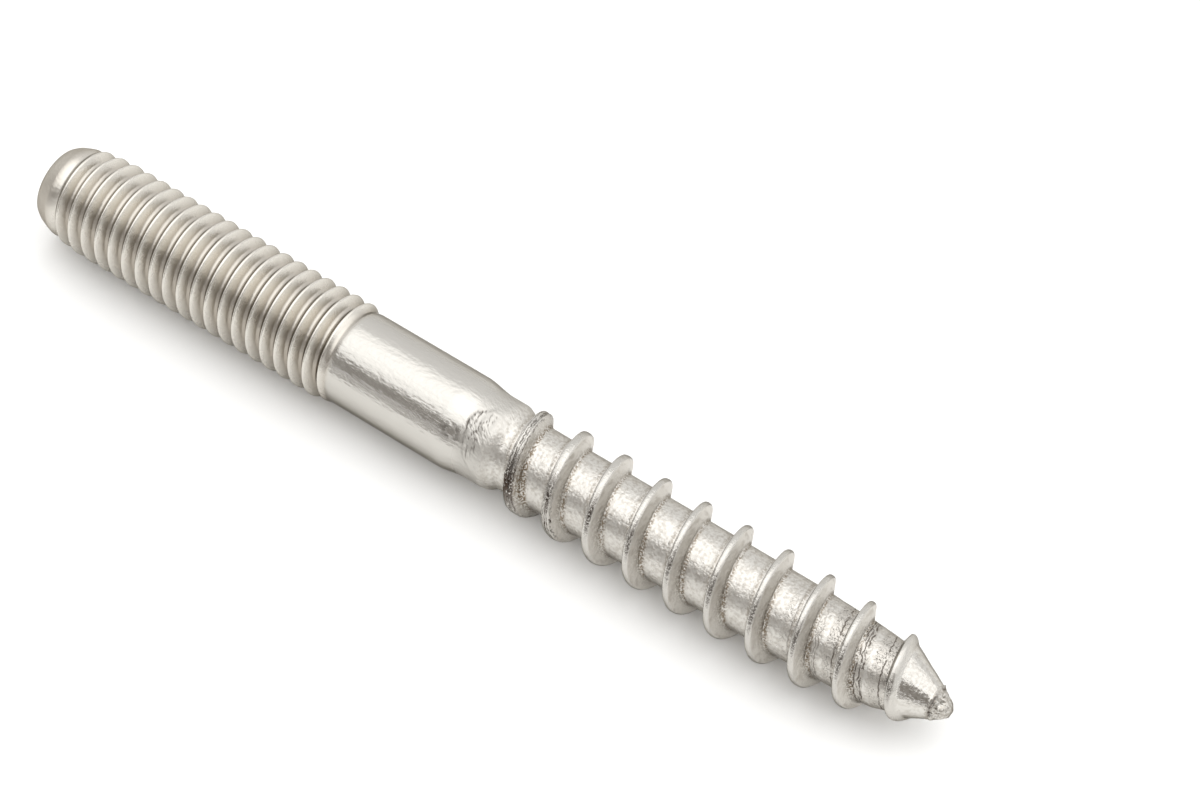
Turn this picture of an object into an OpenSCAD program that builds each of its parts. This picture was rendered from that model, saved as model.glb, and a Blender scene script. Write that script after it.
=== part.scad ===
// Hanger bolt: machine thread on one half, wood-screw thread and point on the other,
// rolled from one piece of stainless wire. It lies along X with the point towards +X,
// its lowest crests on Z = 0.

/* [Whole bolt] */
// Length from the machine end face to the tip
total_len = 60; // [55:0.5:80]
// Flat sides that stand for one turn of a thread; a multiple of 4 lays a flat underneath
sides = 24; // [16:4:28]

/* [Machine thread] */
// Diameter over the crests
machine_d = 6; // [5.6:0.05:6.4]
// Diameter in the root
machine_root_d = 4.78; // [4.6:0.02:5]
// Advance per turn
machine_pitch = 1; // [0.8:0.05:1.2]
// Length from the end face to the plain shank
machine_len = 21.4; // [15:0.1:26]
// Stretch over which the thread fades into the shank
machine_fade = 0.9; // [0.5:0.1:2]
// Position of the first whole crest, measured from the end face on the lower side
machine_phase = 0.24; // [0:0.01:0.6]
// Diameter of the flat end face inside the chamfer
end_face_d = 4.6; // [3.8:0.05:4.7]
// Slope of the end chamfer, measured from the axis
chamfer_angle = 20; // [15:1:45]

/* [Plain shank] */
// Diameter of the plain shank, the rolling blank
shank_d = 5.5; // [5.2:0.05:5.7]
// Length of the plain shank
shank_len = 7.3; // [4:0.1:12]
// Length of the shoulder that curves down to the neck
shoulder_len = 1.9; // [1:0.1:3]
// Diameter of the neck
neck_d = 5.04; // [4.7:0.02:5.2]
// Length of the neck, up to the wood thread's core
neck_len = 1.4; // [1:0.1:2.5]

/* [Wood thread] */
// Diameter over the crests at the fullest turn
wood_d = 6; // [5.6:0.05:6.4]
// Diameter over the first crest, which is only half filled
wood_first_d = 5.46; // [5.2:0.02:5.7]
// Diameter over the second crest
wood_second_d = 5.82; // [5.6:0.02:5.9]
// Diameter over the last crest, where the ridge meets the point
wood_last_d = 4.92; // [4.6:0.02:5.2]
// Diameter of the core between the ridges
core_d = 4.28; // [4:0.02:4.4]
// Diameter of the core in the last groove
core_last_d = 3.8; // [3.6:0.02:4.1]
// Advance per turn
wood_pitch = 2.6; // [2.3:0.05:3]
// Crest position on the lower side, measured from the end of the neck
wood_phase = 2.5; // [2.2:0.02:3]
// Width of the rounded crest
wood_crest_w = 0.38; // [0.2:0.01:0.5]
// Slope of the ridge's side towards the point, measured from square to the axis
wood_flank_angle = 22; // [15:1:32]
// Slope of the ridge's steeper side towards the shank
wood_back_angle = 12; // [8:1:25]

/* [Point] */
// Half angle of the cone
point_angle = 27.3; // [22:0.1:32]
// Diameter where the cone ends at the broken pip
pip_d = 1.9; // [1.6:0.05:2.2]
// Length of the broken pip
pip_len = 1; // [0.6:0.05:1.3]
// Diameter of the pip's blunt end
pip_end_d = 0.95; // [0.7:0.05:1.2]
// Lean of the pip off the axis
pip_lean = 5; // [0:1:10]

/* [Hidden] */
steel = [0.79, 0.78, 0.75];
$fn = 96;

machine_r = machine_d / 2;
shank_r = shank_d / 2;
neck_r = neck_d / 2;
core_r = core_d / 2;
// Depth by which one solid reaches into the next, under its surface
lap = 1;
skin = 0.03;

// Stations along the axis, from the machine end face
shank_z = machine_len;
shoulder_z = shank_z + shank_len;
neck_z = shoulder_z + shoulder_len;
wood_z = neck_z + neck_len;
pip_z = total_len - pip_len;

// Machine thread section, as shares of the pitch: rounded crest, straight flanks, narrow root
machine_crest_w = 0.18;
machine_root_w = 0.17;
machine_crest_drop = 0.05;
machine_steps = [0, machine_crest_w / 2, 0.5 - machine_root_w / 2, 0.5 + machine_root_w / 2,
    1 - machine_crest_w / 2];
machine_radii = [machine_r, machine_r - machine_crest_drop, machine_root_d / 2, machine_root_d / 2,
    machine_r - machine_crest_drop];

// Wood thread section, as shares of the pitch: crest, flank, flat core, steeper flank
wood_crest_drop = 0.07;
wood_edge = wood_crest_w / 2 / wood_pitch;
wood_depth = (wood_d - core_d) / 2 / wood_pitch;
wood_foot = wood_edge + wood_depth * tan(wood_flank_angle);
wood_back_foot = wood_edge + wood_depth * tan(wood_back_angle);
wood_steps = [0, wood_edge, wood_foot, 0.5, 1 - wood_back_foot, 1 - wood_edge];

// Share of the way from a to b, held between 0 and 1
function share(x, a, b) = max(0, min(1, (x - a) / (b - a)));

// Radius of the point's cone
function cone_r(z) = pip_d / 2 + (pip_z - z) * tan(point_angle);

// Radius over the wood crests: a half-filled start, fullest past the middle, falling to the point
last_crest_z = pip_z - 2.5;
merge_z = last_crest_z + 1.9;
crest_line = [
    [wood_z - 0.4 * wood_pitch, core_r],
    [wood_z + 0.28 * wood_pitch, wood_first_d / 2],
    [wood_z + 1.3 * wood_pitch, wood_second_d / 2],
    [last_crest_z - 3.4 * wood_pitch, wood_d / 2],
    [last_crest_z - 2.2 * wood_pitch, wood_d / 2],
    [last_crest_z - 1.05 * wood_pitch, wood_d / 2 - 0.1],
    [last_crest_z, wood_last_d / 2],
    [last_crest_z + 1, (wood_last_d / 2 + cone_r(merge_z)) / 2 + 0.08],
    [merge_z, cone_r(merge_z)],
    [pip_z, pip_d / 2],
];

// Where it lies on the ground: under one crest of each thread, the outer or the inner one as the wood
// thread is the thicker or the thinner. The axis leans by the difference of the two diameters.
machine_rest_z = wood_d > machine_d ? machine_pitch : shank_z - machine_fade;
wood_rest_z = last_crest_z - (wood_d > machine_d ? 3.4 : 2.2) * wood_pitch;
flat_share = cos(180 / sides);
lean = asin((wood_d - machine_d) / 2 * flat_share / (wood_rest_z - machine_rest_z));

// Radius of the core, which thins in the last groove and goes under the cone past it
function core_line(z) = lookup(z, [
    [last_crest_z - 2 * wood_pitch, core_r],
    [last_crest_z - 1.1 * wood_pitch, (core_r * 2 + core_last_d / 2) / 3],
    [last_crest_z - 0.2 * wood_pitch, core_last_d / 2],
    [last_crest_z + 0.1 * wood_pitch, core_last_d / 2 * 0.88],
    [merge_z, cone_r(merge_z) * 0.9],
]);

// The groove runs out into the cone behind a crest that lies past this stretch
fill_from = last_crest_z - 0.5 * wood_pitch;
fill_to = last_crest_z - 0.05 * wood_pitch;
function floor_r(z, crest_z) = let (
        cone = min(cone_r(z), lookup(z, crest_line)),
        bare = min(core_line(z), cone_r(z))
    ) bare + max(0, cone - bare) * share(crest_z, fill_from, fill_to);

function wood_r(z, crest_z, step) =
    step == 0 ? max(lookup(z, crest_line), floor_r(z, crest_z)) :
    step == 1 || step == 5 ? max(lookup(z, crest_line) - wood_crest_drop, floor_r(z, crest_z)) :
    floor_r(z, crest_z);

// Near the shank the crest sinks and the root rises to just under the shank's skin
function machine_thread_r(z, crest_z, step) = let (
        whole = share(z, shank_z + 0.1, shank_z - machine_fade),
        rest = shank_r - skin
    ) rest + whole * (machine_radii[step] - rest);

// Solid rod with a right-hand thread along Z. Each column of points round the axis is shifted by
// its share of the pitch; points past either end are drawn in to one ring there.
module threaded_rod(pitch, phase, steps, z_from, z_to, from_r, to_r, radius) {
    n = len(steps);
    first_turn = floor((z_from - phase) / pitch) - 2;
    turns = ceil((z_to - z_from) / pitch) + 4;
    rows = turns * n;
    function angle(i) = (i + 0.5) * 360 / sides;
    function crest_z(i, k) = phase + pitch * (first_turn + floor(k / n) + angle(i) / 360);
    function point_z(i, k) = crest_z(i, k) + pitch * steps[k % n];
    // First and last row that a column keeps
    low = [for (i = [0:sides - 1]) len([for (k = [0:rows - 1]) if (point_z(i, k) <= z_from + 0.01) 1]) - 1];
    high = [for (i = [0:sides - 1]) len([for (k = [0:rows - 1]) if (point_z(i, k) < z_to - 0.01) 1])];
    function index(i, k) = i < sides ?
        i * rows + max(low[i], min(high[i], k)) :
        index(i - sides, k + n);
    points = [for (i = [0:sides - 1]) for (k = [0:rows - 1]) let (
            z = k <= low[i] ? z_from : k >= high[i] ? z_to : point_z(i, k),
            r = k <= low[i] ? from_r : k >= high[i] ? to_r : radius(z, crest_z(i, k), k % n)
        ) [r * cos(angle(i)), r * sin(angle(i)), z]];
    skin_faces = [for (i = [0:sides - 1]) for (k = [-n:rows - 2]) let (
            a = index(i, k), b = index(i + 1, k), c = index(i + 1, k + 1), d = index(i, k + 1)
        ) each [[a, d, c], [a, c, b]]];
    whole_faces = [for (f = skin_faces) if (f[0] != f[1] && f[1] != f[2] && f[2] != f[0]) f];
    from_cap = [for (i = [0:sides - 1]) index(i, low[i])];
    to_cap = [for (i = [sides - 1:-1:0]) index(i, high[i])];
    polyhedron(points, concat(whole_faces, [from_cap, to_cap]), convexity = 10);
}

// Machine thread, turned off square at its end with a chamfer down to the root
module machine_end() {
    reach = machine_r + 1;
    intersection() {
        threaded_rod(machine_pitch, machine_phase, machine_steps, -lap, shank_z + lap,
            machine_root_d / 2, shank_r - skin, function(z, c, s) machine_thread_r(z, c, s));
        rotate_extrude() polygon([[0, 0], [end_face_d / 2, 0],
            [reach, (reach - end_face_d / 2) / tan(chamfer_angle)],
            [reach, shank_z + 2 * lap], [0, shank_z + 2 * lap]]);
    }
}

// Plain shank, curved shoulder and neck
module shank() {
    bends = 8;
    neck_end_r = core_r + skin;
    rotate_extrude() polygon(concat(
        [[0, shank_z], [shank_r, shank_z]],
        [for (i = [0:bends]) [
            neck_r + (shank_r - neck_r) * (1 + cos(180 * i / bends)) / 2,
            shoulder_z + shoulder_len * i / bends]],
        [[neck_r, neck_z + neck_len * 0.45], [neck_end_r, wood_z], [0, wood_z]]));
}

// Wood thread on its core, with the cone of the point
module wood_end() {
    threaded_rod(wood_pitch, wood_z + wood_phase, wood_steps, neck_z - lap / 2, pip_z,
        core_r - 0.1, pip_d / 2, function(z, c, s) wood_r(z, c, s));
}

// Pip left where the point was pinched off: a leaning stub with seven broken sides, whose corners stand
// out of the cone, cut back to the bolt's length
module broken_pip() {
    root = 0.5;
    spare = 0.5;
    slope = (pip_d - pip_end_d) / 2 / pip_len;
    burr = 1.04;
    intersection() {
        translate([0, 0, pip_z]) rotate([-pip_lean, 0, 110]) translate([0, 0, -root])
            cylinder(h = root + pip_len + spare, r1 = pip_d / 2 * burr + slope * root,
                r2 = pip_end_d / 2 * burr - slope * spare, $fn = 7);
        translate([0, 0, total_len / 2]) cube([2 * pip_d, 2 * pip_d, total_len], center = true);
    }
}

module hanger_bolt() {
    color(steel)
    translate([machine_rest_z - total_len / 2, 0, machine_r * flat_share])
    rotate([0, 90 - lean, 0])
    translate([0, 0, -machine_rest_z]) {
        machine_end();
        shank();
        wood_end();
        broken_pip();
    }
}

hanger_bolt();
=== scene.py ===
import math

import bpy
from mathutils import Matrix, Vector, noise


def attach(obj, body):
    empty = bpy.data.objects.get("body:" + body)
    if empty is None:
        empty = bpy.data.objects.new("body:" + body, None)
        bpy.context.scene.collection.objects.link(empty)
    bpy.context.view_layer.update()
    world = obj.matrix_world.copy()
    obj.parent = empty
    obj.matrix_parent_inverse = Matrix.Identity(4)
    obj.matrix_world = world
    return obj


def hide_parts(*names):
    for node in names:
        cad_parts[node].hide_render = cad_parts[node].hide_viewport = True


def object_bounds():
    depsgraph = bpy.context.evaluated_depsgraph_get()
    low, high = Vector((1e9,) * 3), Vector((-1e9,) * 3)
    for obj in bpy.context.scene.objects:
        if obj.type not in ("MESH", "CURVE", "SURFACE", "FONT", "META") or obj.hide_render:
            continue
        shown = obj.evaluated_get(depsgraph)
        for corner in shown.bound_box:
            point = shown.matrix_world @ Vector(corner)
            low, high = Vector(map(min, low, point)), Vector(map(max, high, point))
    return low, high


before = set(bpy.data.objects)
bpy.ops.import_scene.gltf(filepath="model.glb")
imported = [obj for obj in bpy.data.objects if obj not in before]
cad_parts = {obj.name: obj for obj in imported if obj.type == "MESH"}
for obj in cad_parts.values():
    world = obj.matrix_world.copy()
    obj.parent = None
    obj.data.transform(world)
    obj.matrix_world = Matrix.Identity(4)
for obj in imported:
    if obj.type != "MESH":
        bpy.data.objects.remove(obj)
cad_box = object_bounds()

# The bolt is modelled in millimetres standing on Z, machine end face at Z = 0, point upwards.
# It is laid down along +X and brought to metres at the end. A station is a height on Z, and a pair of
# stations says where a feature starts to change and where it has changed.
MM = 0.001
TURN = 2 * math.pi
TOTAL_LEN = (cad_box[1][0] - cad_box[0][0]) / MM
AXIS_HEIGHT = (cad_box[1][2] - cad_box[0][2]) / MM / 2
CREST_R = 3.0

# Mesh: columns round the bolt, spare turns past both ends of a thread, and small distances in mm
COLUMNS = 128
SPARE_TURNS = 2
TOUCH = 0.002
MERGE = 0.003
END_SNAP = 0.01
ON_AXIS = 0.01
SMOOTH_ANGLE = 70

# Turn angles in degrees: upper edge of the photographed side, its lower part and half the width of that
UPPER_EDGE = 122
LOWER_SIDE = 247
LOWER_SIDE_HALF = 33

# Machine thread: M6 x 1
MACHINE_PITCH = 1.0
MACHINE_PHASE = 0.27
MACHINE_END = 21.4
MACHINE_STARTS = (0.8, 2.2)
MACHINE_RUNS_OUT = (MACHINE_END - 1.0, MACHINE_END + 0.15)
SATIN_ENDS = (MACHINE_END - 0.2, MACHINE_END + 0.2)
# One pitch as (distance from the crest, radius): narrow rolled crest, straight flanks, wide rounded root
MACHINE_SECTION = [
    (0.0, 3.0), (0.05, 2.982), (0.085, 2.93), (0.31, 2.54), (0.39, 2.462), (0.5, 2.432),
    (0.61, 2.462), (0.69, 2.54), (0.915, 2.93), (0.95, 2.982)]
# Envelope of the rolled end as (station, radius): the blank tapers, so the first crests are low
MACHINE_END_TAPER = [
    (0.0, 2.25), (0.25, 2.42), (0.6, 2.55), (0.9, 2.66), (1.5, 2.82), (2.35, 2.92), (3.3, 3.0)]
# The end face is drawn in by these shares, ring by ring
END_FACE_SHARES = (0.985, 0.6, 0.4, 0.2)

# Plain shank, shoulder and neck
SHANK_R = 2.75
SHANK_FROM = 21.6
SHANK_TO = 28.4
SHANK_RINGS = 16
SHOULDER = (28.7, 30.6)
NECK_R = 2.52
NECK_ENDS = (31.5, 32.5)

# Scab of folded metal on the neck: its edge as (turn angle, station), and where to look for it
SCAB_EDGE = [
    (168, 31.5), (176, 31.05), (184, 30.7), (191, 30.3), (198, 30.12), (206, 30.13), (226, 30.35),
    (253, 30.67), (269, 31.15), (285, 31.5)]
SCAB_ANGLES = (160, 295)
SCAB_STATIONS = (28.6, 32.0)

# Wood thread: 6 mm, pitch 2.6
WOOD_PITCH = 2.6
WOOD_PHASE = 34.5
WOOD_STARTS = (31.2, 32.2)
ROLLED = (31.6, 32.6)
CORE_R = 2.14
CORE_TAPER = [
    (51.0, CORE_R), (52.2, 2.08), (54.3, 2.03), (55.4, 1.95), (56.2, 1.88), (56.8, 1.7), (58.5, 1.1)]
# Run of the ridge's side towards the point, and of the steep one towards the shank
FRONT_RUN = 0.37
BACK_RUN = 0.18
# Domed crest as (station, half width), then how much lower its edges lie and the roundings of the crest
# and the foot, as shares of the ridge's height
CREST_HALF = [(36.0, 0.22), (38.5, 0.19), (41.0, 0.16), (54.0, 0.15), (56.5, 0.1)]
CREST_DROP = 0.05
CREST_ROUND = 0.07
FOOT_ROUND = 0.1
# A ridge lower than this in mm shows its finishes in part
FULL_RIDGE = 0.3
# The first turn is lapped, and the tearing beside the crests settles to a line after it
LAP_ENDS = (34.2, 35.2)
TEARING_SETTLES = (34.2, 37.5)
TEARING_WEAKENS = (37.5, 46.0)
# The rolls stretch the last turn by this much, the groove behind it runs out and the ridge ends on the cone
LAST_CREST = 56.5
LAST_DRIFT = 0.12
LAST_STRETCH = (54.6, 56.6)
GROOVE_RUNS_OUT = (LAST_CREST - 1.3, LAST_CREST - 0.1)
RIDGE_ENDS = (57.9, 58.5)
# Stations between which the finishes of the wood half come and go
NECK_SHOWS = (29.6, 30.6)
NECK_FADES = (31.6, 32.4)
FLANKS_SHOW = (32.0, 32.8)
FLANKS_FADE = (55.0, 56.0)
SECOND_LAP_SHOWS = (35.4, 36.0)
SECOND_LAP_FADES = (36.7, 37.2)
LATE_SHOWS = (50.5, 53.0)
LATE_FADES = (55.0, 55.6)
GRIT_AND_SHADE_FADES = (54.5, 55.8)

# Point
CONE_APEX = 60.85
CONE_SLOPE = math.tan(math.radians(27.3))
CONE_SHOWS = (56.6, 57.2)
PIP_FROM = 59.0
PIP_RINGS = 14
PIP_RING_SHARE = 0.93
PIP_SIDES = 7
PIP_LEAN = 0.06
BURR_AT = 59.1
TORN_AT = 59.14
# Radius of the pip by share of its length
PIP_TAPER = [(0.0, 0.97), (0.25, 0.87), (0.5, 0.7), (0.8, 0.54), (0.97, 0.4), (1.0, 0.22)]

# Radius over the wood crests: half-filled start, fullest past the middle, falling on the point
WOOD_CRESTS = [
    (30.4, 2.2), (31.6, 2.5), (32.7, 2.74), (35.4, 2.92), (38.0, 2.93), (43.5, 2.95), (46.0, 2.99),
    (48.6, 2.99), (51.0, 2.95), (53.7, 2.84), (LAST_CREST, 2.43), (57.5, 1.93), (58.4, 1.264),
    (CONE_APEX, 0.0)]

# Side of the floor in metres
FLOOR_SIZE = 1.2

# Finishes that the mesh hands to the steel, point by point. Across is the distance in mm from the crest;
# the others are shares. Lapped, torn, late and fold say where cracks may show.
FINISHES = (
    "across", "core", "neck", "crest", "flank", "grit_and_foot_shade", "lapped", "torn", "late", "fold", "satin", "cone",
    "root")


def linear(code):
    """sRGB hex colour as linear RGBA."""
    parts = [int(code[i:i + 2], 16) / 255 for i in (1, 3, 5)]
    return [c / 12.92 if c <= 0.04045 else ((c + 0.055) / 1.055) ** 2.4 for c in parts] + [1.0]


def blend(x, a, b):
    """Smooth step from 0 at a to 1 at b."""
    t = min(1.0, max(0.0, (x - a) / (b - a)))
    return t * t * (3 - 2 * t)


def hill(x, centre, half):
    """Bell of height 1."""
    t = (x - centre) / half
    return math.exp(-t * t)


def line(x, points):
    """Straight lines through (x, y) points, level past both ends."""
    if x <= points[0][0]:
        return points[0][1]
    for (xa, ya), (xb, yb) in zip(points, points[1:]):
        if x <= xb:
            return ya + (yb - ya) * (x - xa) / (xb - xa)
    return points[-1][1]


def soft_max(a, b, width):
    """The larger of two values, with the corner between them rounded off."""
    near = max(width - abs(a - b), 0.0) / width
    return max(a, b) + near * near * width / 4


def grain(z, angle, size, seed=0.0):
    """Noise of about the given grain size in mm on the bolt's round surface, -1 to 1."""
    r = CORE_R / size
    return noise.noise(Vector((r * math.cos(angle), r * math.sin(angle), z / size + seed)))


def lumps(angle, count, height):
    """Noise round the pip, -1 to 1; a larger count gives more lumps to the turn."""
    return noise.noise(Vector((count * math.cos(angle), count * math.sin(angle), height)))


def deselect_all():
    if bpy.context.mode != "OBJECT":
        bpy.ops.object.mode_set(mode="OBJECT")
    bpy.ops.object.select_all(action="DESELECT")


def apply_modifier(obj, kind, **settings):
    modifier = obj.modifiers.new(kind.title(), kind)
    for key, value in settings.items():
        setattr(modifier, key, value)
    bpy.ops.object.modifier_apply(modifier=modifier.name)


def select_ring(obj, z):
    """In edit mode, select only the open edges that lie at this station."""
    bpy.ops.object.mode_set(mode="EDIT")
    bpy.ops.mesh.select_mode(type="EDGE")
    bpy.ops.mesh.select_all(action="DESELECT")
    bpy.ops.mesh.select_non_manifold(extend=False)
    bpy.ops.object.mode_set(mode="OBJECT")
    points = obj.data.vertices
    for edge in obj.data.edges:
        if edge.select:
            edge.select = all(abs(points[i].co.z - z) < TOUCH for i in edge.vertices)
    bpy.ops.object.mode_set(mode="EDIT")


def draw_out(rise, share=1.0):
    """In edit mode, extrude the selected ring along the axis and draw it in to a share of its radius."""
    bpy.ops.mesh.extrude_region_move(TRANSFORM_OT_translate={"value": (0, 0, rise)})
    bpy.ops.transform.resize(value=(share, share, 1), center_override=(0, 0, 0))


def close_ring():
    """In edit mode, fill the selected ring with a fan of triangles."""
    bpy.ops.mesh.edge_face_add()
    bpy.ops.mesh.poke()


def swept_thread(name, pitch, phase, section, z_from, z_to):
    """Helical skin: the section of one pitch is drawn, arrayed along the axis and screwed one turn round it.
    The section is a list of (distance from the crest along the axis, radius)."""
    deselect_all()
    bpy.ops.mesh.primitive_plane_add(size=1)
    obj = bpy.context.object
    obj.name = name
    first = math.floor((z_from - phase) / pitch) - SPARE_TURNS
    turns = math.ceil((z_to - z_from) / pitch) + 2 * SPARE_TURNS + 1
    points = [Vector((r, 0, phase + first * pitch + d)) for d, r in section]
    points.append(points[0] + Vector((0, 0, pitch)))
    bpy.ops.object.mode_set(mode="EDIT")
    bpy.ops.mesh.merge(type="CENTER")
    bpy.ops.transform.translate(value=points[0])
    for a, b in zip(points, points[1:]):
        bpy.ops.mesh.extrude_vertices_move(TRANSFORM_OT_translate={"value": b - a})
    bpy.ops.object.mode_set(mode="OBJECT")
    apply_modifier(
        obj, "ARRAY", count=turns, use_relative_offset=False, use_constant_offset=True,
        constant_offset_displace=(0, 0, pitch), use_merge_vertices=True, merge_threshold=TOUCH)
    apply_modifier(
        obj, "SCREW", angle=TURN, screw_offset=pitch, steps=COLUMNS, render_steps=COLUMNS,
        use_merge_vertices=False)
    return obj


def shape_skin(obj, radius, z_from, r_from, z_to, r_to):
    """Move every point to the radius that its place asks for. Points past either end are drawn in
    to one ring there, and the seam of the turn is closed."""
    for point in obj.data.vertices:
        x, y, z = point.co
        angle = math.atan2(y, x) % TURN
        if z <= z_from + END_SNAP:
            z, r = z_from, r_from
        elif z >= z_to - END_SNAP:
            z, r = z_to, r_to
        else:
            r = radius(z, angle)
        point.co = (r * math.cos(angle), r * math.sin(angle), z)
    bpy.ops.object.mode_set(mode="EDIT")
    bpy.ops.mesh.select_all(action="SELECT")
    bpy.ops.mesh.remove_doubles(threshold=MERGE)
    bpy.ops.object.mode_set(mode="OBJECT")


def machine_radius(z, angle):
    turn = ((z - MACHINE_PHASE) / MACHINE_PITCH - angle / TURN) % 1.0
    r = line(turn, MACHINE_SECTION + [(1.0, CREST_R)])
    r = line(z, MACHINE_END_TAPER) - (CREST_R - r) * blend(z, *MACHINE_STARTS)
    whole = 1 - blend(z, *MACHINE_RUNS_OUT)
    return SHANK_R + whole * (r - SHANK_R)


def machine_finish(z, radius, angle):
    """Satin thread whose roots are darkened, with painted shade making them darker still on the lower side of
    the turn, a scratched end darkened as painted shade that dims its highlight, and a plain shank.
    """
    satin = 1 - blend(z, *SATIN_ENDS)
    low = 1 - blend(radius, 2.6, 2.92)
    # Painted shade: the end's colour is darkened, dimming the highlight on it.
    end_shade = 1 - blend(z, 0.9, 1.6)
    # Painted shade: the roots are darkened more on the lower side of the turn.
    lower_side = hill(math.degrees(angle), 264, 38)
    roots_and_lower_shade = low * (1 + 0.8 * lower_side) * blend(z, 1.2, 2.4)
    return {
        "satin": satin,
        "neck": 0.8 * (1 - blend(z, 0.7, 1.3)),
        "root": max(end_shade, roots_and_lower_shade) * satin,
    }


def cone_radius(z):
    return (CONE_APEX - z) * CONE_SLOPE


def bare_radius(z):
    """Shoulder, neck and core without the ridge."""
    if z < NECK_ENDS[0]:
        return NECK_R + (SHANK_R - NECK_R) * (1 - blend(z, *SHOULDER))
    if z < NECK_ENDS[1]:
        return CORE_R + (NECK_R - CORE_R) * (1 - blend(z, *NECK_ENDS))
    return line(z, CORE_TAPER)


def ridge_share(d, crest_half):
    """Height share of the wood ridge at a distance d from its crest, which is domed, with unequal sides
    and a filleted foot."""
    run = FRONT_RUN if d > 0 else BACK_RUN
    dome = 1 - CREST_DROP * (d / crest_half) ** 2
    side = (1 - CREST_DROP) * (1 - (abs(d) - crest_half) / run)
    return soft_max(-soft_max(-dome, -side, CREST_ROUND), 0.0, FOOT_ROUND)


def groove_floor(z, angle, behind_z):
    """Radius of the uneven core, or of the cone where the groove has run out."""
    bare = min(bare_radius(z), cone_radius(z))
    cone = max(bare, min(cone_radius(z), line(z, WOOD_CRESTS)))
    ripple = 0.008 * grain(z, angle, 0.9) + 0.006 * grain(z, angle, 0.33)
    return bare + (cone - bare) * blend(behind_z, *GROOVE_RUNS_OUT) + blend(z, *ROLLED) * ripple


def neck_scab(z, angle):
    """Scab of folded metal: an uneven step, crumpled above, drawn out in strokes below, with a smear
    before it. Returns the change of radius and the share of dark folds."""
    degrees = math.degrees(angle)
    past = z - line(degrees, SCAB_EDGE) - 0.06 * grain(z, angle, 0.3, 21.0)
    on = blend(past, -0.04, 0.08) * (1 - blend(z, 31.0, 31.6))
    on *= blend(degrees, 172, 186) * (1 - blend(degrees, 250, 280))
    crumpled = on * (1 - blend(degrees, 226, 244))
    strokes = on * blend(degrees, 222, 236)
    wrinkle = grain(z, angle, 0.5, 2.0) + 0.5 * grain(z, angle, 0.2, 6.0)
    stroke = noise.noise(Vector((past * 8, degrees * 0.04, 5.0)))
    rim = hill(past, -0.04, 0.05) * blend(degrees, 178, 190) * (1 - blend(degrees, 240, 262))
    rim *= 0.35 + 0.65 * blend(grain(z, angle, 0.4, 31.0), -0.2, 0.2)

    step = 0.035 * on * (1 - 0.6 * blend(past, 0.2, 0.8))
    folds = 0.05 * crumpled * wrinkle + 0.02 * strokes * stroke
    bead = 0.08 * hill(degrees, 203, 6) * hill(z, 30.87, 0.15)
    creases = crumpled * hill(wrinkle, 0.0, 0.06) + 0.7 * strokes * blend(stroke, 0.1, 0.35)
    smear = hill(degrees, 229, 8) * hill(z, 29.55, 0.65) * blend(grain(z, angle, 0.25, 41.0), -0.3, 0.3)
    return step + folds + bead - 0.035 * rim, max(rim, 0.85 * creases, 0.65 * smear)


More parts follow.
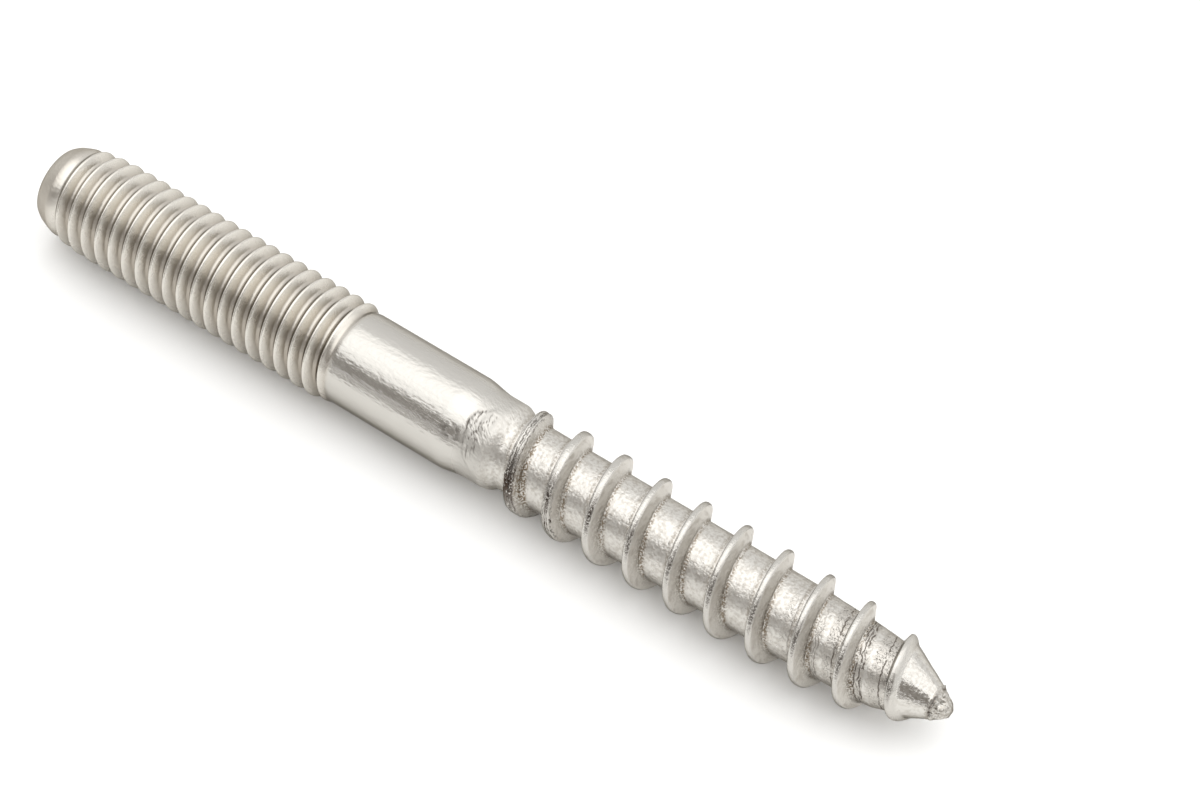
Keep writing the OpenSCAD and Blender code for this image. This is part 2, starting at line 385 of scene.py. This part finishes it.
def wood_surface(z, angle):
    """Radius of the wood half, and how much of each finish shows there."""
    turn = (z - LAST_DRIFT * blend(z, *LAST_STRETCH) - WOOD_PHASE) / WOOD_PITCH - angle / TURN
    d = (turn - round(turn)) * WOOD_PITCH
    crest_z = z - d
    behind_z = crest_z if d > 0 else crest_z - WOOD_PITCH
    degrees = math.degrees(angle)
    lower_side = hill(degrees, LOWER_SIDE, LOWER_SIDE_HALF)
    floor = groove_floor(z, angle, behind_z)

    # Ridge. Its first turn is lapped: two uneven lips with a crevice between them
    begun = blend(crest_z, *WOOD_STARTS)
    lapped = begun * (1 - blend(crest_z, *LAP_ENDS))
    uneven = lapped * (0.4 + 0.6 * lower_side)
    half = line(crest_z, CREST_HALF)
    share = ridge_share(d + 0.04 * uneven * grain(z, angle, 0.3, 7.0), half)
    height = max(0.0, line(crest_z, WOOD_CRESTS) - floor) * (1 - blend(crest_z, *RIDGE_ENDS))
    height *= 1 + uneven * 0.09 * grain(z, angle, 0.3, 3.0) + 0.02 * grain(z, angle, 0.6, 4.0)
    foot_d = half + FRONT_RUN + 0.06
    r = floor + height * share
    r -= share * lapped * (0.06 + 0.07 * lower_side) * hill(d, 0.06, 0.06)
    r += uneven * hill(d, foot_d - 0.15, 0.2) * (0.1 * height + 0.05 * grain(z, angle, 0.18, 1.0))

    # Torn edge: broad on the first turn, then a short line beside the crest
    settled = blend(crest_z, *TEARING_SETTLES)
    beside_crest = blend(d, -0.06, 0.06) * (1 - blend(d, 0.12, 0.22))
    torn = begun * (1 - 0.1 * settled) * (1 - 0.4 * blend(crest_z, *TEARING_WEAKENS))
    torn *= hill(degrees, LOWER_SIDE - 21 * settled, LOWER_SIDE_HALF - 11 * settled)
    torn *= 1 - settled * (1 - beside_crest)
    second_lap = blend(crest_z, *SECOND_LAP_SHOWS) * (1 - blend(crest_z, *SECOND_LAP_FADES))
    second_lap *= hill(degrees, 262, 34)

    # Grit gathers at the front foot of the ridge and below the lapped lip. The dull specks at the back foot,
    # where the steep side meets the core, are painted shade.
    front_grit = (0.85 + 0.15 * lower_side) * hill(d, foot_d, 0.12 + 0.07 * lower_side)
    back_foot_shade = 0.6 * hill(d, -half - BACK_RUN - 0.2, 0.12)
    lap_grit = 0.6 * uneven * blend(d, 0.2, 0.35) * (1 - blend(d, 0.6, 0.9))

    ridge = share * min(1.0, height / FULL_RIDGE)
    groove = 1 - blend(ridge, 0.05, 0.3)
    side = blend(ridge, 0.1, 0.3) * (1 - blend(ridge, 0.84, 0.93))
    flanks = blend(z, *FLANKS_SHOW) * (1 - 0.8 * blend(crest_z, *FLANKS_FADE))
    grit_and_shade_shown = blend(z, *ROLLED) * (1 - blend(crest_z, *GRIT_AND_SHADE_FADES))
    last_grooves = blend(crest_z, *LATE_SHOWS) * (1 - blend(behind_z, *LATE_FADES))
    finish = {
        "across": d,
        "core": blend(z, *WOOD_STARTS) * groove,
        "neck": blend(z, *NECK_SHOWS) * (1 - blend(z, *NECK_FADES)),
        "crest": blend(ridge, 0.86, 0.95),
        "flank": flanks * side * (1 - 0.6 * lapped),
        # This share includes the painted shade at the back foot of the ridge.
        "grit_and_foot_shade": grit_and_shade_shown * min(1.0, front_grit + back_foot_shade + lap_grit),
        "lapped": max(lapped * (0.6 + 0.4 * lower_side), second_lap) * blend(share, 0.1, 0.4),
        "torn": torn * blend(share, 0.55, 0.85),
        "late": last_grooves * (1 - blend(share, 0.1, 0.3)) * (1 - blend(abs(d), 1.1, 1.2)),
        "cone": blend(z, *CONE_SHOWS) * groove,
    }
    if SCAB_ANGLES[0] < degrees < SCAB_ANGLES[1] and SCAB_STATIONS[0] < z < SCAB_STATIONS[1]:
        change, finish["fold"] = neck_scab(z, angle)
        r += change
    return r, finish


def wood_radius(z, angle):
    return wood_surface(z, angle)[0]


def wood_section():
    """Rows of one pitch, close together on the ridge and wider apart on the core."""
    places = [-0.24 + 0.04 * i for i in range(13)]
    places += [0.28, 0.33, 0.38, 0.43, 0.48, 0.53, 0.58, 0.65, 0.73]
    places += [0.82 + 0.09 * i for i in range(12)]
    places += [1.9, 1.99, 2.07, 2.12, 2.16, 2.2, 2.24, 2.28, 2.32]
    return [(d, CORE_R) for d in places]


def pip_surface(x, y, z):
    """Broken pip: uneven sides pinched off askew, with a burr on the upper edge. Returns the point's place
    and how much of each finish shows there."""
    angle = math.atan2(y, x) % TURN
    t = min(1.0, (z - PIP_FROM) / (TOTAL_LEN - PIP_FROM))
    if math.hypot(x, y) > ON_AXIS:
        side = TURN / PIP_SIDES
        facet = math.cos(side / 2) / math.cos((angle + 0.35) % side - side / 2)
        crumple = 1.2 * (facet - 0.95) + 0.12 * lumps(angle, 1.6, 4 * t) + 0.16 * lumps(angle, 3.0, 6 * t + 9)
        r = line(t, PIP_TAPER) * (1 + blend(t, 0.0, 0.2) * crumple)
        x = r * math.cos(angle)
        y = r * math.sin(angle)
    up_x = math.cos(math.radians(UPPER_EDGE))
    up_y = math.sin(math.radians(UPPER_EDGE))
    rise = x * up_x + y * up_y
    burr = 0.08 * hill(math.degrees(angle), UPPER_EDGE, 14) * hill(z, BURR_AT, 0.09)
    shift = PIP_LEAN * t + burr
    z -= max(0.0, rise - 0.05) * 0.5 * t
    torn_edge = lumps(angle, 2.5, 3.0)
    fold = 0.8 * hill(z, TORN_AT + 0.1 * torn_edge, 0.06) * blend(torn_edge, -0.3, 0.1)
    return (x + shift * up_x, y + shift * up_y, z), {"neck": 0.3, "grit_and_foot_shade": 0.35, "fold": fold}


def bolt_mesh():
    wood = swept_thread("wood_half", WOOD_PITCH, WOOD_PHASE, wood_section(), SHANK_TO, PIP_FROM)
    shape_skin(wood, wood_radius, SHANK_TO, SHANK_R, PIP_FROM, cone_radius(PIP_FROM))
    bolt = swept_thread("hanger_bolt_skin", MACHINE_PITCH, MACHINE_PHASE, MACHINE_SECTION, 0.0, SHANK_FROM)
    end_face_r = MACHINE_END_TAPER[0][1]
    shape_skin(bolt, machine_radius, 0.0, end_face_r, SHANK_FROM, SHANK_R)

    # The plain shank is drawn out of the machine thread's ring, up to the wood half's ring
    select_ring(bolt, SHANK_FROM)
    for _ in range(SHANK_RINGS):
        draw_out((SHANK_TO - SHANK_FROM) / SHANK_RINGS)

    # Flat end face
    select_ring(bolt, 0.0)
    for share in END_FACE_SHARES:
        draw_out(0.0, share)
    close_ring()

    deselect_all()
    wood.select_set(True)
    bolt.select_set(True)
    bpy.context.view_layer.objects.active = bolt
    bpy.ops.object.join()
    bpy.ops.object.mode_set(mode="EDIT")
    bpy.ops.mesh.select_all(action="SELECT")
    bpy.ops.mesh.remove_doubles(threshold=MERGE)

    # Pip: rings drawn in past the end of the cone
    select_ring(bolt, PIP_FROM)
    for _ in range(PIP_RINGS):
        draw_out((TOTAL_LEN - PIP_FROM) / PIP_RINGS, PIP_RING_SHARE)
    close_ring()
    bpy.ops.mesh.select_all(action="SELECT")
    bpy.ops.mesh.normals_make_consistent(inside=False)
    bpy.ops.object.mode_set(mode="OBJECT")
    return bolt


def finish_surface(bolt):
    """Shape the pip, and write down for each point how much of each finish shows there."""
    shown = {name: [0.0] * len(bolt.data.vertices) for name in FINISHES}
    for i, point in enumerate(bolt.data.vertices):
        x, y, z = point.co
        angle = math.atan2(y, x) % TURN
        if z > PIP_FROM - TOUCH:
            point.co, finish = pip_surface(x, y, z)
        elif z > SHANK_TO:
            finish = wood_surface(z, angle)[1]
        else:
            finish = machine_finish(z, math.hypot(x, y), angle)
        for name, share in finish.items():
            shown[name][i] = share
    for name, shares in shown.items():
        bolt.data.attributes.new(name, "FLOAT", "POINT").data.foreach_set("value", shares)


def lay_down(bolt):
    """Turn the standing bolt onto +X, set it on the ground and bring it to metres."""
    deselect_all()
    bolt.select_set(True)
    bpy.context.view_layer.objects.active = bolt
    bolt.rotation_euler = (0, math.pi / 2, 0)
    bolt.scale = (MM, MM, MM)
    bolt.location = (-TOTAL_LEN / 2 * MM, 0, AXIS_HEIGHT * MM)
    bpy.ops.object.transform_apply(location=True, rotation=True, scale=True)
    bpy.ops.object.shade_smooth_by_angle(angle=math.radians(SMOOTH_ANGLE))


def add_node(tree, kind, inputs, output=0, **settings):
    """Add a node, set its properties, set or link its inputs, and return the output that is asked for."""
    made = tree.nodes.new(kind)
    for key, value in settings.items():
        setattr(made, key, value)
    for key, value in inputs.items():
        if isinstance(value, bpy.types.NodeSocket):
            tree.links.new(value, made.inputs[key])
        else:
            made.inputs[key].default_value = value
    return made.outputs[output] if made.outputs else None


def rolled_stainless_steel():
    """Bare rolled stainless steel. The eye sees warm grey metal: bright and smooth on the shank and the cone,
    satin on the machine thread, mottled on the wood thread's core, with brown grey granular specks and dark
    cracks. Painted shade: brown grey specks at the back foot of the wood ridge, the machine thread's roots
    darker on the lower side, and its darkened end."""
    material = bpy.data.materials.new("rolled_stainless_steel")
    material.use_nodes = True
    tree = material.node_tree
    tree.nodes.clear()
    value = {name: add_node(tree, "ShaderNodeAttribute", {}, "Fac", attribute_name=name) for name in FINISHES}
    value["everywhere"] = 1.0

    # Patterns: name, place, shares of the three axes, grain width in mm, detail. X runs along the bolt, and a
    # small share draws the grain out along that axis. Crumbs and scratches are coarser than real grit and
    # rolling scratches, which would not show.
    place = add_node(tree, "ShaderNodeTexCoord", {}, "Object")
    to_mm = (1 / MM, 1 / MM, 1 / MM)
    in_mm = add_node(tree, "ShaderNodeVectorMath", {0: place, 1: to_mm}, operation="MULTIPLY")
    tilt = {"Vector": in_mm, "Axis": (0, -0.54, 0.84), "Angle": 0.7}
    slanted = add_node(tree, "ShaderNodeVectorRotate", tilt)
    patterns = (
        ("mottle", in_mm, (1, 1, 1), 0.18, 4.0),
        ("clouds", in_mm, (1, 1, 1), 0.9, 3.0),
        ("crumbs", in_mm, (1, 1, 1), 0.11, 2.0),
        ("gaps", in_mm, (1, 1, 1), 0.43, 2.0),
        ("wobble", in_mm, (1, 1, 1), 0.22, 3.0),
        ("sway", in_mm, (1, 1, 1), 0.77, 2.0),
        ("streaks", in_mm, (0.12, 1, 1), 0.25, 3.0),
        ("leather", in_mm, (0.55, 1, 1), 0.22, 4.0),
        ("marks", in_mm, (1, 0.18, 0.18), 0.14, 3.0),
        ("scratches", slanted, (0.2, 1, 1), 0.125, 2.0))
    for name, source, shares, grain_width, detail in patterns:
        drawn_out = add_node(tree, "ShaderNodeVectorMath", {0: source, 1: shares}, operation="MULTIPLY")
        settings = {"Vector": drawn_out, "Scale": 1 / grain_width, "Detail": detail}
        value[name] = add_node(tree, "ShaderNodeTexNoise", settings, "Fac")

    # Steps in the patterns: name, pattern, where it is 0 and where it is 1
    steps = (
        ("present", "gaps", 0.38, 0.5),
        ("absent", "gaps", 0.62, 0.5),
        ("patches", "mottle", 0.43, 0.64),
        ("specks", "crumbs", 0.42, 0.54),
        ("pits", "crumbs", 0.36, 0.48),
        ("grain_lines", "marks", 0.48, 0.66))
    for name, pattern, low, high in steps:
        value[name] = add_node(tree, "ShaderNodeMapRange", {0: value[pattern], 1: low, 2: high})

    # Sums: wavering distances from the crest in mm, the smooth parts, and the parts that are mottled
    sums = (
        ("wobble_mm", "MULTIPLY_ADD", "wobble", 0.2, -0.1),
        ("sway_mm", "MULTIPLY_ADD", "sway", 0.5, -0.25),
        ("wavering", "ADD", "across", "wobble_mm"),
        ("swaying", "ADD", "wavering", "sway_mm"),
        ("satin_or_core", "MAXIMUM", "satin", "core"),
        ("dressed", "MAXIMUM", "satin_or_core", "flank"),
        ("smooth", "SUBTRACT", 1.0, "dressed"),
        ("mottled", "MULTIPLY_ADD", "cone", -0.3, "core"))
    for name, operation, *terms in sums:
        inputs = {i: value.get(term, term) for i, term in enumerate(terms)}
        value[name] = add_node(tree, "ShaderNodeMath", inputs, operation=operation)

    # Broken lines along the lapped ridges and the last grooves: group, value that they follow, the value at
    # their middle, half width, and what breaks them off
    broken_lines = (
        ("lap_lines", "wavering", 0.02, 0.05, "present"),
        ("lap_lines", "wavering", 0.15, 0.04, "present"),
        ("lap_lines", "wavering", -0.12, 0.03, "absent"),
        ("lap_lines", "wavering", 0.28, 0.03, "absent"),
        ("fold_lines", "wavering", 0.7, 0.05, "present"),
        ("fold_lines", "swaying", 0.85, 0.05, "absent"),
        ("fold_lines", "swaying", 1.0, 0.055, "present"),
        ("fold_lines", "wavering", -0.62, 0.045, "absent"),
        ("fold_lines", "mottle", 0.5, 0.016, "present"))
    dark_share = 0.3
    for group, followed, centre, half, gate in broken_lines:
        offset = add_node(tree, "ShaderNodeMath", {0: value[followed], 1: centre}, operation="SUBTRACT")
        away = add_node(tree, "ShaderNodeMath", {0: offset}, operation="ABSOLUTE")
        near = add_node(tree, "ShaderNodeMapRange", {0: away, 1: half, 2: dark_share * half})
        gated = add_node(tree, "ShaderNodeMath", {0: near, 1: value[gate]}, operation="MULTIPLY")
        inputs = {0: value.get(group, 0.0), 1: gated}
        value[group] = add_node(tree, "ShaderNodeMath", inputs, operation="MAXIMUM")

    # Layers, each put together from rows of pattern, finish and strength. Cracks are dark, dull places brown
    # grey; the flanks are roughest; relief is in shares of the bump's distance.
    layers = (
        ("cracks", "MAXIMUM", (
            ("everywhere", "fold", 1.0), ("lap_lines", "lapped", 1.0), ("pits", "torn", 1.0),
            ("fold_lines", "late", 0.8))),
        ("dull", "MAXIMUM", (
            ("patches", "mottled", 0.33), ("specks", "grit_and_foot_shade", 1.0), ("grain_lines", "flank", 0.3),
            # The root share darkens the machine thread's roots, with painted shade added on the lower side
            # and at the end.
            ("everywhere", "root", 0.34), ("everywhere", "late", 0.2))),
        ("rough", "ADD", (
            ("everywhere", "everywhere", 0.12), ("clouds", "everywhere", 0.16), ("everywhere", "core", 0.1),
            ("everywhere", "neck", 0.2), ("everywhere", "satin", 0.06), ("everywhere", "crest", -0.05),
            ("everywhere", "flank", 0.34), ("everywhere", "cone", -0.2), ("everywhere", "dull", 0.1))),
        ("relief", "ADD", (
            ("streaks", "everywhere", 0.5), ("leather", "smooth", 0.8), ("crumbs", "smooth", 0.12),
            ("marks", "core", 0.5), ("mottle", "core", 1.15), ("mottle", "cone", -0.805),
            ("streaks", "cone", 0.6), ("mottle", "flank", 0.9), ("marks", "flank", 0.8),
            ("scratches", "neck", 1.4), ("crumbs", "grit_and_foot_shade", 1.8), ("crumbs", "crest", 0.5),
            ("everywhere", "cracks", -0.9))))
    for name, operation, rows in layers:
        value[name] = 0.0
        for pattern, finish, strength in rows:
            inputs = {0: value[pattern], 1: value[finish]}
            shown = add_node(tree, "ShaderNodeMath", inputs, operation="MULTIPLY")
            weighed = add_node(tree, "ShaderNodeMath", {0: shown, 1: strength}, operation="MULTIPLY")
            value[name] = add_node(tree, "ShaderNodeMath", {0: value[name], 1: weighed}, operation=operation)

    # Colour: warm on the machine thread, brown grey where dull, darkest in cracks. The dull share carries
    # painted shade: the machine thread's roots darker on the lower side, its darkened end, and the specks at
    # the wood ridge's back foot.
    colour = linear("#c5c2bc")
    tints = (
        ("satin", "#d4d0c8"), ("core", "#d0cdc7"), ("flank", "#cfcbc4"), ("dull", "#7d705f"),
        ("cracks", "#463b33"))
    for finish, code in tints:
        inputs = {0: value[finish], 6: colour, 7: linear(code)}
        colour = add_node(tree, "ShaderNodeMix", inputs, 2, data_type="RGBA")
    # Seen at a slant, the steel darkens but for the flanks
    slant = {0: value["flank"], 6: linear("#96938e"), 7: linear("#ffffff")}
    slant_tint = add_node(tree, "ShaderNodeMix", slant, 2, data_type="RGBA")
    bump = add_node(tree, "ShaderNodeBump", {
        "Strength": 1.0, "Distance": 0.03 * MM, "Height": value["relief"]})
    steel = add_node(tree, "ShaderNodeBsdfPrincipled", {
        "Base Color": colour, "Metallic": 1.0, "Specular Tint": slant_tint, "Roughness": value["rough"],
        "Normal": bump})
    add_node(tree, "ShaderNodeOutputMaterial", {"Surface": steel})
    return material


def seamless_floor(z):
    """White paper sweep under the bolt."""
    deselect_all()
    bpy.ops.mesh.primitive_plane_add(size=FLOOR_SIZE, location=(0, 0, z))
    floor = bpy.context.object
    floor.name = "floor"
    material = bpy.data.materials.new("white_paper_sweep")
    material.use_nodes = True
    tree = material.node_tree
    tree.nodes.clear()
    # Matt paper: an even white with no shine
    paper = add_node(tree, "ShaderNodeBsdfDiffuse", {"Color": linear("#fafaf9")})
    add_node(tree, "ShaderNodeOutputMaterial", {"Surface": paper})
    floor.data.materials.append(material)


def studio_light():
    """White tent: bright overhead, pale behind and at the sides, dark room low on the camera's side."""
    world = bpy.data.worlds.new("studio")
    bpy.context.scene.world = world
    world.use_nodes = True
    tree = world.node_tree
    tree.nodes.clear()
    direction = add_node(tree, "ShaderNodeTexCoord", {}, "Generated")

    # Parts of the tent: name, axis, and the reach along it at which the part is 0 and 1
    value = {}
    parts = (
        ("ceiling", (-0.1, -0.08, 1.0), 0.63, 0.85),
        ("right_box", (0.5, 0.35, 0.8), 0.78, 0.9),
        ("zenith", (0, 0, 1), 0.80, 0.98),
        ("above_table", (0, 0, 1), 0.20, 0.32),
        ("over_horizon", (0, 0, 1), 0.0, 0.02),
        ("under_rim", (0, 0, 1), 0.15, 0.12),
        ("in_front", (0, 1, 0), 0.05, -0.35))
    for name, axis, low, high in parts:
        inputs = {0: direction, 1: axis}
        reach = add_node(tree, "ShaderNodeVectorMath", inputs, "Value", operation="DOT_PRODUCT")
        inputs = {0: reach, 1: low, 2: high}
        value[name] = add_node(tree, "ShaderNodeMapRange", inputs, interpolation_type="SMOOTHSTEP")
    joins = (
        ("overhead", "MAXIMUM", "ceiling", "right_box"),
        ("table_edge", "MULTIPLY", "over_horizon", "under_rim"),
        ("dark", "MAXIMUM", "above_table", "table_edge"),
        ("room", "MULTIPLY", "dark", "in_front"))
    for name, operation, a, b in joins:
        value[name] = add_node(tree, "ShaderNodeMath", {0: value[a], 1: value[b]}, operation=operation)

    # Light levels, mixed from one to the other by a part of the tent
    mixes = (
        ("sides", "room", (1.05, 1.05, 1.05, 1), (0.37, 0.35, 0.33, 1)),
        ("top", "zenith", (1.65, 1.65, 1.65, 1), (2.1, 2.1, 2.1, 1)),
        ("tent", "overhead", "sides", "top"))
    for name, part, a, b in mixes:
        inputs = {0: value[part], 6: value.get(a, a), 7: value.get(b, b)}
        value[name] = add_node(tree, "ShaderNodeMix", inputs, 2, data_type="RGBA")
    light = add_node(tree, "ShaderNodeBackground", {"Color": value["tent"], "Strength": 1.0})
    add_node(tree, "ShaderNodeOutputWorld", {"Surface": light})


def camera():
    """Camera of the photograph, fitted to the crests of both threads."""
    azimuth = math.radians(36.64)
    elevation = math.radians(51.49)
    level = math.cos(elevation)
    back = Vector((math.sin(azimuth) * level, -math.cos(azimuth) * level, math.sin(elevation)))
    eye = bpy.data.objects.new("camera", bpy.data.cameras.new("camera"))
    bpy.context.scene.collection.objects.link(eye)
    eye.location = Vector((73.88, -88.69, 150.57)) * MM
    eye.rotation_euler = back.to_track_quat("Z", "Y").to_euler()
    eye.data.sensor_width = 36.0
    eye.data.lens = 104.8
    eye.data.clip_start = 0.01
    eye.data.dof.use_dof = False
    bpy.context.scene.camera = eye


camera()
studio_light()
bolt = bolt_mesh()
finish_surface(bolt)
lay_down(bolt)
bolt.data.materials.clear()
bolt.data.materials.append(rolled_stainless_steel())
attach(bolt, "root")
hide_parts("hanger_bolt")
seamless_floor((AXIS_HEIGHT - CREST_R) * MM)
bpy.context.scene.view_settings.view_transform = "Standard"
